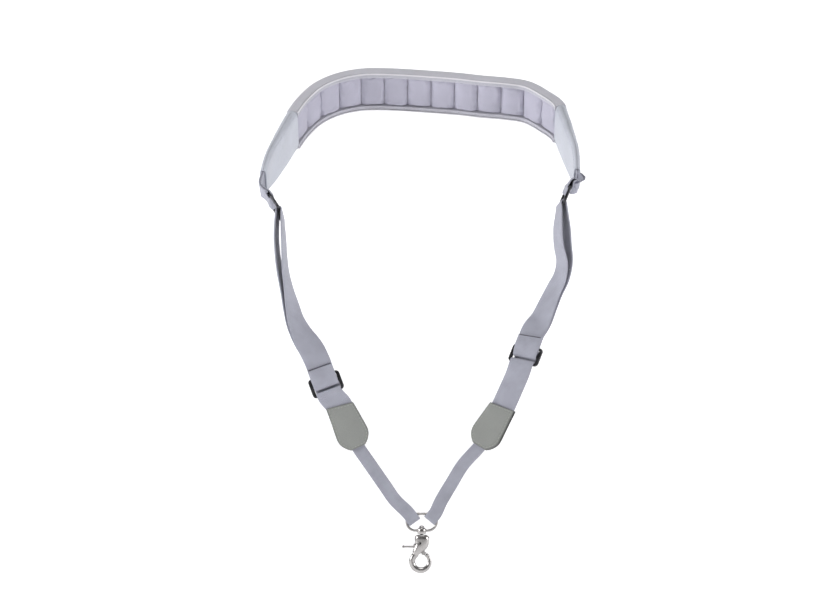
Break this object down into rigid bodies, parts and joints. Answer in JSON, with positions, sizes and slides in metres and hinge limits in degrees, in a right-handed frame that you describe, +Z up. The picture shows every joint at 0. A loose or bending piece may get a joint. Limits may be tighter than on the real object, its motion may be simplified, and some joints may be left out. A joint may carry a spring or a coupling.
{
  "type": "saxophone neck strap",
  "caption": "Neck strap for a saxophone: a curved pad of air cells with end tabs, doubled webbing with sliders and stitched leather tabs, and a swivel trigger hook.",
  "frame": {"origin": "where the middle of the pad's inner face rests against the back of the neck", "axes": "+Z up, +X to the right as seen from the front, -Y to the front, towards the wearer's chest"},
  "size_m": [0.3172, 0.1683, 0.4991],
  "materials": {
    "air_cell_skin": "smooth coated cloth, satin",
    "end_tab_leather": "smooth soft leather, satin",
    "shell_cloth": "fine woven cloth, matte",
    "rim_cloth": "fine woven cloth, matte",
    "piping": "coated piping cord, satin",
    "foam": "open-cell foam, matte",
    "webbing": "woven webbing, matte",
    "narrow_webbing": "woven webbing, matte",
    "sage_leather": "suede-like leather, matte",
    "gunmetal": "dark gunmetal, semi-gloss",
    "nickel": "satin nickel plating",
    "rivet_steel": "dark steel",
    "spring_steel": "drawn wire"
  },
  "bodies": {
    "strap_root": {"air_cell_01": "air_cell_skin", "air_cell_02": "air_cell_skin", "air_cell_03": "air_cell_skin", "air_cell_04": "air_cell_skin", "air_cell_05": "air_cell_skin", "air_cell_06": "air_cell_skin", "air_cell_07": "air_cell_skin", "air_cell_08": "air_cell_skin", "air_cell_09": "air_cell_skin", "air_cell_10": "air_cell_skin", "air_cell_11": "air_cell_skin", "air_cell_12": "air_cell_skin", "air_cell_13": "air_cell_skin", "end_tab_inner_left": "end_tab_leather", "end_tab_inner_right": "end_tab_leather", "end_tab_outer_left": "end_tab_leather", "end_tab_outer_right": "end_tab_leather", "leather_tab_back_left": "sage_leather", "leather_tab_back_right": "sage_leather", "leather_tab_front_left": "sage_leather", "leather_tab_front_right": "sage_leather", "narrow_webbing_left": "narrow_webbing", "narrow_webbing_right": "narrow_webbing", "pad_cell_backing": "shell_cloth", "pad_foam_core": "foam", "pad_lip_lower": "rim_cloth", "pad_lip_upper": "rim_cloth", "pad_outer_shell": "shell_cloth", "pad_piping_lower": "piping", "pad_piping_upper": "piping", "pad_webbing_loop_left": "webbing", "pad_webbing_loop_right": "webbing", "strap_webbing_left": "webbing", "strap_webbing_right": "webbing"},
    "slider_left": {"slider_left": "gunmetal"},
    "slider_right": {"slider_right": "gunmetal"},
    "ring_left": {"pad_ring_left": "gunmetal"},
    "ring_right": {"pad_ring_right": "gunmetal"},
    "eye": {"wire_eye": "nickel"},
    "hook": {"hook_body": "nickel", "swivel_post": "nickel", "trigger_rivet": "rivet_steel", "trigger_spring": "spring_steel"},
    "trigger": {"trigger": "nickel"}
  },
  "joints": [
    {"name": "slider_slide_left", "type": "slide", "parent": "strap_root", "child": "slider_left", "axis": [-0.3499, 0, 0.9368], "range_m": [-0.006, 0.024], "deforming": ["strap_webbing_left"]},
    {"name": "slider_slide_right", "type": "slide", "parent": "strap_root", "child": "slider_right", "axis": [0.3596, 0.3396, 0.8691], "range_m": [-0.02, 0.02], "deforming": ["strap_webbing_right"]},
    {"name": "ring_pivot_left", "type": "hinge", "parent": "strap_root", "child": "ring_left", "pos_m": [-0.1419, -0.11402, -0.11393], "axis": [-0.0632, -0.904, 0.4229], "range_deg": [-8, 8], "deforming": ["pad_webbing_loop_left", "strap_webbing_left"]},
    {"name": "ring_pivot_right", "type": "hinge", "parent": "strap_root", "child": "ring_right", "pos_m": [0.1454, -0.11405, -0.10276], "axis": [-0.1367, 0.9726, -0.1879], "range_deg": [-8, 8], "deforming": ["pad_webbing_loop_right", "strap_webbing_right"]},
    {"name": "eye_swing", "type": "hinge", "parent": "strap_root", "child": "eye", "pos_m": [0.0036, -0.13, -0.4158], "axis": [1, 0, 0], "range_deg": [-35, 35], "deforming": ["narrow_webbing_left", "narrow_webbing_right"]},
    {"name": "hook_swivel", "type": "hinge", "parent": "eye", "child": "hook", "pos_m": [0.0036, -0.13, -0.4352], "axis": [0, 0, 1], "continuous": true},
    {"name": "trigger_pivot", "type": "hinge", "parent": "hook", "child": "trigger", "pos_m": [0.002, -0.13, -0.4439], "axis": [0, 1, 0], "range_deg": [0, 22], "stiffness_Nm_per_rad": 0.02, "springref_deg": -14.32, "deforming": ["trigger_spring"]}
  ]
}
